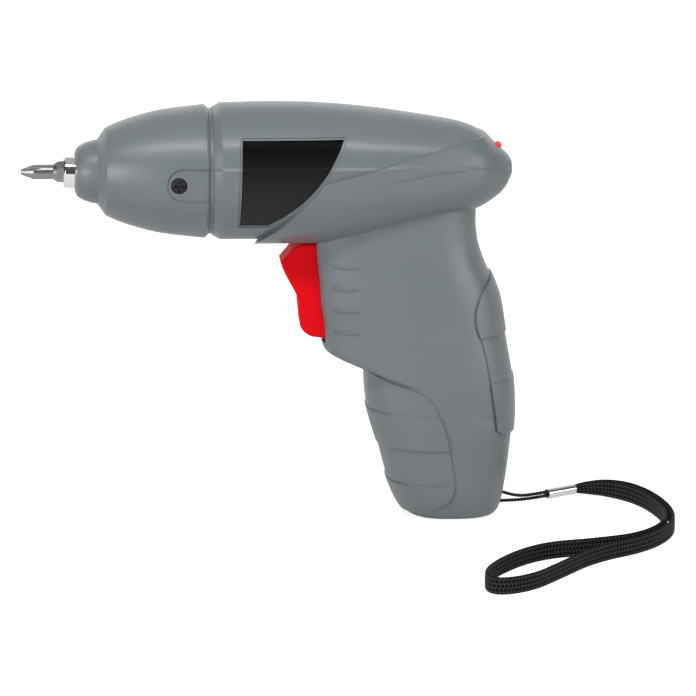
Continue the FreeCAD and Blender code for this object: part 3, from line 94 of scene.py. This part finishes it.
class Nodes:
    """Short helpers for the nodes of a tree."""

    def __init__(self, tree):
        self.tree = tree

    def node(self, kind, **settings):
        made = self.tree.nodes.new(kind)
        for key, setting in settings.items():
            setattr(made, key, setting)
        return made

    def feed(self, socket, source):
        """Link an output, or set a plain value."""
        if isinstance(source, bpy.types.NodeSocket):
            self.tree.links.new(source, socket)
        else:
            socket.default_value = source

    def maths(self, operation, first, second):
        made = self.node("ShaderNodeMath", operation=operation)
        self.feed(made.inputs[0], first)
        self.feed(made.inputs[1], second)
        return made.outputs[0]

    def between(self, factor, low, high, start=0.0, end=1.0):
        """A number that runs from low to high as a factor runs from start to end."""
        made = self.node("ShaderNodeMapRange")
        self.feed(made.inputs["Value"], factor)
        self.feed(made.inputs["From Min"], start)
        self.feed(made.inputs["From Max"], end)
        self.feed(made.inputs["To Min"], low)
        self.feed(made.inputs["To Max"], high)
        return made.outputs["Result"]

    def parts(self, vector):
        """The X, Y and Z of a vector."""
        made = self.node("ShaderNodeSeparateXYZ")
        self.feed(made.inputs[0], vector)
        return made.outputs

    def seen_directly(self, path):
        """One for rays that come straight from the camera, or through clear plastic."""
        return self.maths("MAXIMUM", path.outputs["Is Camera Ray"], path.outputs["Is Transmission Ray"])


class Shader(Nodes):
    """A principled material with its nodes."""

    def __init__(self, name):
        self.material = bpy.data.materials.new(name)
        self.material.use_nodes = True
        super().__init__(self.material.node_tree)
        self.principled = self.tree.nodes["Principled BSDF"]
        self.place = self.node("ShaderNodeTexCoord").outputs["Object"]

    def set(self, **inputs):
        for key, source in inputs.items():
            self.feed(self.principled.inputs[key.replace("_", " ")], source)

    def noise(self, scale, detail=2.0, place=None):
        made = self.node("ShaderNodeTexNoise")
        self.feed(made.inputs["Vector"], place or self.place)
        self.feed(made.inputs["Scale"], scale)
        self.feed(made.inputs["Detail"], detail)
        return made.outputs["Fac"]

    def stretched(self, factors):
        """The place, stretched so that a pattern turns into streaks."""
        made = self.node("ShaderNodeMapping")
        self.feed(made.inputs["Vector"], self.place)
        self.feed(made.inputs["Scale"], factors)
        return made.outputs["Vector"]

    def tinted(self, factor, colour, spread):
        """A colour that goes a little darker and lighter with a factor."""
        made = self.node("ShaderNodeMix", data_type="RGBA")
        self.feed(made.inputs["Factor"], factor)
        sockets = [socket for socket in made.inputs if socket.type == "RGBA"]
        for socket, side in zip(sockets, (-1, 1)):
            shade = [min(1.0, channel * (1 + side * spread)) for channel in colour]
            socket.default_value = (*shade, 1.0)
        return [socket for socket in made.outputs if socket.type == "RGBA"][0]

    def rounded(self, radius):
        """A normal that rounds sharp edges by a radius."""
        made = self.node("ShaderNodeBevel", samples=BEVEL_SAMPLES)
        made.inputs["Radius"].default_value = radius
        return made.outputs["Normal"]

    def bump(self, height, depth, normal=None):
        made = self.node("ShaderNodeBump")
        made.inputs["Distance"].default_value = depth
        self.feed(made.inputs["Height"], height)
        if normal:
            self.feed(made.inputs["Normal"], normal)
        self.feed(self.principled.inputs["Normal"], made.outputs["Normal"])


# Moulding grain, colour clouds, edge radii and the label's half height, over which its painted floor
# reflection runs, in metres or per metre
GRAIN_SCALE = 2600
GRAIN_DEPTH = 0.00003
FINE_GRAIN_DEPTH = GRAIN_DEPTH / 3
WRAP_GRAIN_DEPTH = GRAIN_DEPTH / 4
LABEL_GRAIN_DEPTH = GRAIN_DEPTH / 8
CLOUD_SCALE = 45
SHINE_CLOUD_SCALE = CLOUD_SCALE * 4
LAMP_CLOUD_SCALE = CLOUD_SCALE * 10
EDGE_RADIUS = 0.00045
LABEL_REACH = 0.0147

# How far colour and roughness stray from their middle
CLOUD_SPREAD = 0.05
SHINE_SPREAD = 0.06
LAMP_SPREAD = 0.1


def label_with_painted_reflection(name, top, foot):
    """Smooth black panel, lighter towards its foot as a painted reflection of the floor."""
    shader = Shader(name)
    # Painted reflection: the colour runs from near black at the top to dark grey at the foot, standing in
    # for the floor mirrored in the label.
    shade = shader.between(shader.parts(shader.place)["Z"], top, foot, LABEL_REACH, -LABEL_REACH)
    shader.set(Base_Color=shade, Roughness=0.3, Specular_IOR_Level=0.02)
    shader.bump(shader.noise(GRAIN_SCALE), LABEL_GRAIN_DEPTH, shader.rounded(EDGE_RADIUS))
    return shader.material


def moulded(name, colour, roughness, grain=GRAIN_DEPTH, gloss=0.5, index=1.5):
    """Moulded plastic: fine spark-eroded grain, faint clouding and rounded edges."""
    shader = Shader(name)
    cloud = shader.noise(CLOUD_SCALE)
    shine = shader.noise(SHINE_CLOUD_SCALE)
    shader.set(
        Base_Color=shader.tinted(cloud, colour, CLOUD_SPREAD),
        Roughness=shader.between(shine, roughness - SHINE_SPREAD, roughness + SHINE_SPREAD),
        Specular_IOR_Level=gloss, IOR=index)
    shader.bump(shader.noise(GRAIN_SCALE), grain, shader.rounded(EDGE_RADIUS))
    return shader.material


# Tool marks of bare metal, in metres or per metre, and how far they change its shine
METAL_STREAK_SCALE = 900
METAL_STREAK_DETAIL = 4.0
METAL_DEPTH = 0.000012
NICKEL_DEPTH = METAL_DEPTH / 3
CHROME_DEPTH = METAL_DEPTH / 4
METAL_EDGE_RADIUS = EDGE_RADIUS / 3
METAL_SPREAD = 0.08
LEAST_ROUGHNESS = 0.03


def metal(name, colour, roughness, streak=(1, 1, 1), depth=METAL_DEPTH):
    """Bare metal with fine tool marks and uneven shine."""
    shader = Shader(name)
    marks = shader.noise(METAL_STREAK_SCALE, METAL_STREAK_DETAIL, shader.stretched(streak))
    smoothest = max(LEAST_ROUGHNESS, roughness - METAL_SPREAD)
    shader.set(
        Base_Color=shader.tinted(marks, colour, METAL_SPREAD), Metallic=1.0,
        Roughness=shader.between(marks, smoothest, roughness + METAL_SPREAD))
    shader.bump(marks, depth, shader.rounded(METAL_EDGE_RADIUS))
    return shader.material


def lamp_dome(name, colour):
    """Clear coloured plastic with a little glow."""
    shader = Shader(name)
    cloud = shader.noise(LAMP_CLOUD_SCALE)
    shader.set(
        Base_Color=shader.tinted(cloud, colour, LAMP_SPREAD), Roughness=0.12,
        Transmission_Weight=0.25, IOR=1.5, Emission_Color=(*colour, 1.0), Emission_Strength=0.35)
    shader.bump(shader.noise(GRAIN_SCALE), FINE_GRAIN_DEPTH)
    return shader.material


# Yarn: fibres in metres or per metre, and ranges from low to high over fibres and stitches; the stitch
# colour spread is painted highlight on stitch tops and painted shade in the hollows
PAINTED_STITCH_LIGHT = "painted_stitch_light"
YARN_SCALE = 5000
YARN_DETAIL = 5.0
YARN_DEPTH = 0.00012
YARN_ROUGHNESS = (0.55, 0.85)
STITCH_PAINTED_LIGHT_SPREAD = 0.9
STITCH_GLOSS = (0.05, 0.5)


def braided(name, colour):
    """Black yarn: fine fibres, a soft sheen, and stitches with a painted highlight on top and painted shade
    between.
    """
    shader = Shader(name)
    fibre = shader.noise(YARN_SCALE, YARN_DETAIL)
    painted_stitch_light = shader.node("ShaderNodeAttribute", attribute_name=PAINTED_STITCH_LIGHT).outputs["Fac"]
    shader.set(
        # Painted light: the yarn colour is lighter on stitch tops as a painted highlight and darker between
        # them as painted shade.
        Base_Color=shader.tinted(painted_stitch_light, colour, STITCH_PAINTED_LIGHT_SPREAD),
        Roughness=shader.between(fibre, *YARN_ROUGHNESS), Sheen_Weight=0.05, Sheen_Roughness=0.4,
        Specular_IOR_Level=shader.between(painted_stitch_light, *STITCH_GLOSS))
    shader.bump(fibre, YARN_DEPTH)
    return shader.material


# Stretches that turn marks into streaks along the barrel or round it
ALONG_X = (0.04, 1, 1)
ROUND_X = (1, 0.05, 0.05)

# A material for each slot of the record
MATERIALS = {
    "grey_plastic": moulded("grey_plastic", (0.165, 0.187, 0.198), 0.33),
    # The label's lighter foot colour is a painted reflection of the floor.
    "label_black": label_with_painted_reflection("label_black", 0.001, 0.04),
    "red_plastic": moulded("red_plastic", (0.8, 0.005, 0.011), 0.45, FINE_GRAIN_DEPTH, 0.3, 1.15),
    "black_plastic": moulded("black_plastic", (0.02, 0.02, 0.021), 0.5),
    "white_plastic": moulded("white_plastic", (0.75, 0.74, 0.7), 0.45),
    "gear_nylon": moulded("gear_nylon", (0.1, 0.1, 0.102), 0.5),
    "gear_white": moulded("gear_white", (0.8, 0.79, 0.74), 0.4),
    "card": moulded("card", (0.5, 0.42, 0.3), 0.85),
    "board_green": moulded("board_green", (0.02, 0.15, 0.05), 0.35),
    "cell_wrap": moulded("cell_wrap", (0.05, 0.2, 0.12), 0.3, WRAP_GRAIN_DEPTH),
    "black_screw": metal("black_screw", (0.045, 0.045, 0.048), 0.42, ROUND_X),
    "steel": metal("steel", (0.55, 0.55, 0.56), 0.3, ALONG_X),
    "can_steel": metal("can_steel", (0.6, 0.6, 0.62), 0.32, ALONG_X),
    "core_steel": metal("core_steel", (0.35, 0.35, 0.36), 0.4, ROUND_X),
    "gear_steel": metal("gear_steel", (0.42, 0.42, 0.43), 0.42),
    "bit_steel": metal("bit_steel", (0.3, 0.3, 0.305), 0.36, ALONG_X),
    "chrome": metal("chrome", (0.82, 0.82, 0.84), 0.08, ROUND_X, CHROME_DEPTH),
    "nickel": metal("nickel", (0.76, 0.76, 0.76), 0.12, ALONG_X, NICKEL_DEPTH),
    "magnet": metal("magnet", (0.5, 0.5, 0.52), 0.2),
    "ferrite": metal("ferrite", (0.06, 0.06, 0.065), 0.6),
    "brass": metal("brass", (0.75, 0.58, 0.25), 0.3, ALONG_X),
    "copper": metal("copper", (0.72, 0.36, 0.2), 0.3, ROUND_X),
    "bronze": metal("bronze", (0.55, 0.38, 0.2), 0.45),
    "light_red": lamp_dome("light_red", (0.85, 0.05, 0.02)),
    "cord_black": braided("cord_black", (0.007, 0.007, 0.0075)),
    "strap_black": braided("strap_black", (0.038, 0.0385, 0.0385)),
}
for entry in frame["record"]["subparts"]:
    mesh = frame["nodes"][entry["node"]].data
    mesh.materials.clear()
    mesh.materials.append(MATERIALS[entry["material_slot"]])


# Cords: routes in metres, with heights counted from the floor
CORD_DIAMETER = 0.0012
CORD_ROUTE = [
    (0.1696, 0.0123, 0.00325), (0.163, 0.0084, 0.0032), (0.1565, 0.0039, 0.0037),
    (0.151, 0.0005, 0.006), (0.1466, 0.0, 0.00765), (0.1419, 0.0, 0.00765),
    (0.1419, 0.0, 0.00315), (0.1466, 0.0, 0.00315), (0.151, 0.0005, 0.0032),
    (0.1565, 0.0039, 0.0024), (0.163, 0.0084, 0.0019), (0.1696, 0.0123, 0.00195),
]
STRAP_WIDTH = 0.006
STRAP_THICKNESS = 0.0012
STRAP_ROUTE = [
    (0.1755, 0.0162), (0.1785, 0.0177), (0.1885, 0.0182), (0.1993, 0.0076),
    (0.2064, -0.014), (0.2068, -0.034), (0.1961, -0.053), (0.1766, -0.066),
    (0.1641, -0.084), (0.1526, -0.1), (0.1395, -0.1055), (0.1362, -0.094),
    (0.1461, -0.075), (0.1596, -0.061), (0.177, -0.057), (0.1941, -0.05),
    (0.2042, -0.0332), (0.2039, -0.0144), (0.1974, 0.0056), (0.1878, 0.015),
    (0.1788, 0.0163), (0.1758, 0.0154),
]
SPLINE_ORDER = 3
SPLINE_STEPS = 24


def spline_line(route):
    """Points of the smooth curve that has a route as its control points."""
    curve = bpy.data.curves.new("route", "CURVE")
    curve.dimensions = "3D"
    spline = curve.splines.new("NURBS")
    spline.points.add(len(route) - 1)
    for point, place in zip(spline.points, route):
        point.co = (*place, 1.0)
    spline.order_u = SPLINE_ORDER
    spline.use_endpoint_u = True
    spline.resolution_u = SPLINE_STEPS
    holder = bpy.data.objects.new("route", curve)
    bpy.context.scene.collection.objects.link(holder)
    bpy.context.view_layer.update()
    mesh = bpy.data.meshes.new_from_object(holder)
    line = [vertex.co.copy() for vertex in mesh.vertices]
    bpy.data.objects.remove(holder)
    bpy.data.curves.remove(curve)
    bpy.data.meshes.remove(mesh)
    return line


def evenly(line, step):
    """The same line with points an even step apart, and its length."""
    lengths = [0.0]
    for before, after in zip(line, line[1:]):
        lengths.append(lengths[-1] + (after - before).length)
    count = max(2, round(lengths[-1] / step))
    spaced, index = [], 0
    for number in range(count + 1):
        goal = lengths[-1] * number / count
        while index < len(line) - 2 and lengths[index + 1] < goal:
            index += 1
        span = lengths[index + 1] - lengths[index]
        spaced.append(line[index].lerp(line[index + 1], (goal - lengths[index]) / span if span else 0))
    return spaced, lengths[-1]


def swept(name, line, section, sides):
    """A mesh tube along a line; section gives each side's place across and up, and the painted light of its
    yarn: lighter as a painted highlight on stitch tops, darker as painted shade in hollows.
    """
    verts, faces, painted_stitch_light = [], [], []
    last = len(line) - 1
    for index, point in enumerate(line):
        ahead = (line[min(last, index + 1)] - line[max(0, index - 1)]).normalized()
        across = ahead.cross(UP).normalized()
        upward = across.cross(ahead)
        for side in range(sides):
            out, rise, stitch = section(index / last, side / sides)
            verts.append(point + across * out + upward * rise)
            painted_stitch_light.append(stitch)
    for index in range(last):
        for side in range(sides):
            low, high = index * sides, (index + 1) * sides
            after = (side + 1) % sides
            faces.append((low + side, low + after, high + after, high + side))
    faces.append(tuple(reversed(range(sides))))
    faces.append(tuple(range(last * sides, (last + 1) * sides)))
    mesh = bpy.data.meshes.new(name)
    mesh.from_pydata(verts, [], faces)
    mesh.attributes.new(PAINTED_STITCH_LIGHT, "FLOAT", "POINT").data.foreach_set("value", painted_stitch_light)
    mesh.shade_smooth()
    made = bpy.data.objects.new(name, mesh)
    bpy.context.scene.collection.objects.link(made)
    return made


# Braid of the cord, with lengths in metres
CORD_STEP = 0.00016
CORD_PLAIT = 0.0014
CORD_RELIEF = 0.00009
CORD_SIDES = 14


def add_strap_cord():
    """The thin round cord from the ferrule round the pin in the handle and back."""
    line = spline_line([(x, y, FLOOR_Z + z) for x, y, z in CORD_ROUTE])
    line, length = evenly(line, CORD_STEP)

    def section(share, side):
        angle = 2 * math.pi * side
        turn = 2 * math.pi * share * length / CORD_PLAIT
        plait = abs(math.sin(angle + turn / 2)) * abs(math.sin(angle - turn / 2))
        radius = CORD_DIAMETER / 2 - CORD_RELIEF * plait
        # The third value is painted shade: the yarn is darker in the plait's hollows.
        return radius * math.cos(angle), radius * math.sin(angle), 1 - plait

    made = swept("strap_cord_braid", line, section, CORD_SIDES)
    made.data.materials.append(MATERIALS["cord_black"])
    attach(made, "housing")
    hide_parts("strap_cord")


# Braid of the strap and its gathered ends, with lengths in metres
STRAP_STEP = 0.00025
STRAP_SIDES = 56
STRAP_COLUMNS = 4
STRAP_STITCH = 0.0013
STRAP_RELIEF = 0.00018
STRAP_SQUARE_SHARE = 0.35
GATHER_LENGTH = 0.024
GATHER_WIDTH = 0.0022
GATHER_THICKNESS = 0.0008
GATHER_LIFT = 0.0026


def eased(share):
    """A smooth step from 0 to 1."""
    share = min(1, max(0, share))
    return share * share * (3 - 2 * share)


def add_wrist_strap():
    """The flat braid, standing on its edge, gathered where both ends go into the ferrule."""
    line, length = evenly(spline_line([(x, y, FLOOR_Z) for x, y in STRAP_ROUTE]), STRAP_STEP)
    spread = []
    for index in range(len(line)):
        near = min(index, len(line) - 1 - index) * length / (len(line) - 1)
        spread.append(eased(math.sqrt(near / GATHER_LENGTH)))
    lift = STRAP_WIDTH / 2
    for point, open_share in zip(line, spread):
        point.z += GATHER_LIFT + (lift - GATHER_LIFT) * open_share

    def section(share, side):
        open_share = spread[round(share * (len(line) - 1))]
        width = GATHER_WIDTH + (STRAP_WIDTH - GATHER_WIDTH) * open_share
        thickness = GATHER_THICKNESS + (STRAP_THICKNESS - GATHER_THICKNESS) * open_share
        angle = 2 * math.pi * side
        cosine, sine = math.cos(angle), math.sin(angle)
        out = math.copysign(abs(cosine) ** STRAP_SQUARE_SHARE, cosine)
        rise = math.copysign(abs(sine) ** (1 - STRAP_SQUARE_SHARE / 2), sine)
        column = (rise + 1) / 2 * STRAP_COLUMNS
        inside = column % 1
        slant = 1 if int(column) % 2 else -1
        wave = math.cos(2 * math.pi * (share * length / STRAP_STITCH + slant * inside))
        stitch = math.sin(math.pi * inside) * (1 + wave) / 2
        depth = thickness / 2 - STRAP_RELIEF * (1 - stitch) * open_share
        # The third value is painted light: lighter on stitch tops as a painted highlight, darker between as
        # painted shade.
        return out * depth, rise * width / 2, stitch * stitch

    made = swept("wrist_strap_braid", line, section, STRAP_SIDES)
    made.data.materials.append(MATERIALS["strap_black"])
    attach(made, "housing")
    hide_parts("wrist_strap")


# Stage: a pale floor and soft light
WHITE = (1.0, 1.0, 1.0, 1.0)
FLOOR_COLOUR = (0.7, 0.7, 0.7, 1.0)
FLOOR_ROUGHNESS = 0.9
FLOOR_SIZE = 12.0

# Glow of the floor to the camera, and in the tool's metal and plastic
FLOOR_GLOW = 0.8
FLOOR_SHINE = 0.25


def add_floor():
    """A pale floor that looks white to the camera and keeps the shadow."""
    mesh = bpy.data.meshes.new("floor")
    half = FLOOR_SIZE / 2
    corners = [(x * half, y * half, FLOOR_Z) for x, y in ((-1, -1), (1, -1), (1, 1), (-1, 1))]
    mesh.from_pydata(corners, [], [(0, 1, 2, 3)])
    floor = bpy.data.objects.new("floor", mesh)
    bpy.context.scene.collection.objects.link(floor)
    shader = Shader("floor")
    path = shader.node("ShaderNodeLightPath")
    shine = shader.between(path.outputs["Is Glossy Ray"], 0.0, FLOOR_SHINE)
    glow = shader.between(shader.seen_directly(path), shine, FLOOR_GLOW)
    shader.set(
        Base_Color=FLOOR_COLOUR, Roughness=FLOOR_ROUGHNESS,
        Emission_Color=WHITE, Emission_Strength=glow)
    mesh.materials.append(shader.material)


# World strengths, and how far back the backdrop's top edge lies for each unit of its height
HORIZON_STRENGTH = 0.06
ZENITH_STRENGTH = 0.12
BACKDROP_STRENGTH = 1.0
BACKDROP_SLOPE = 1.5
LAMPS = [
    # name, place, width and height in metres, and strength in watts
    ("key", (0.0, -1.1, 1.8), 2.4, 0.25, 30),
    ("left", (-1.5, -1.4, 0.2), 1.0, 1.0, 22),
    ("right", (1.5, -1.0, 0.25), 1.0, 1.0, 10),
    ("top", (0.15, 0.55, 1.4), 2.4, 2.4, 6),
    ("back", (0.3, 1.7, 0.5), 2.6, 2.6, 9),
]


def add_world():
    """A white backdrop behind the tool, also in its metal, and a dim room on the camera's side."""
    world = bpy.data.worlds.new("world")
    world.use_nodes = True
    nodes = Nodes(world.node_tree)
    path = nodes.node("ShaderNodeLightPath")
    direction = nodes.parts(nodes.node("ShaderNodeTexCoord").outputs["Generated"])
    room = nodes.between(direction["Z"], HORIZON_STRENGTH, ZENITH_STRENGTH)
    edge = nodes.maths("MULTIPLY", direction["Z"], BACKDROP_SLOPE)
    behind = nodes.maths("GREATER_THAN", direction["Y"], edge)
    mirrored = nodes.maths("MULTIPLY", path.outputs["Is Glossy Ray"], behind)
    white = nodes.maths("MAXIMUM", nodes.seen_directly(path), mirrored)
    background = world.node_tree.nodes["Background"]
    nodes.feed(background.inputs["Color"], WHITE)
    nodes.feed(background.inputs["Strength"], nodes.between(white, room, BACKDROP_STRENGTH))
    bpy.context.scene.world = world


def add_lamps():
    """Soft lamps that look at the middle of the tool."""
    aim = (cad_low + cad_high) / 2
    for name, place, width, height, watts in LAMPS:
        data = bpy.data.lights.new(name, "AREA")
        data.shape = "RECTANGLE"
        data.size = width
        data.size_y = height
        data.energy = watts
        lamp = bpy.data.objects.new(name, data)
        bpy.context.scene.collection.objects.link(lamp)
        lamp.location = place
        lamp.rotation_mode = "QUATERNION"
        lamp.rotation_quaternion = (aim - lamp.location).to_track_quat("-Z", "Y")


add_camera()
add_strap_cord()
add_wrist_strap()
add_floor()
add_world()
add_lamps()
bpy.context.scene.view_settings.view_transform = "Standard"
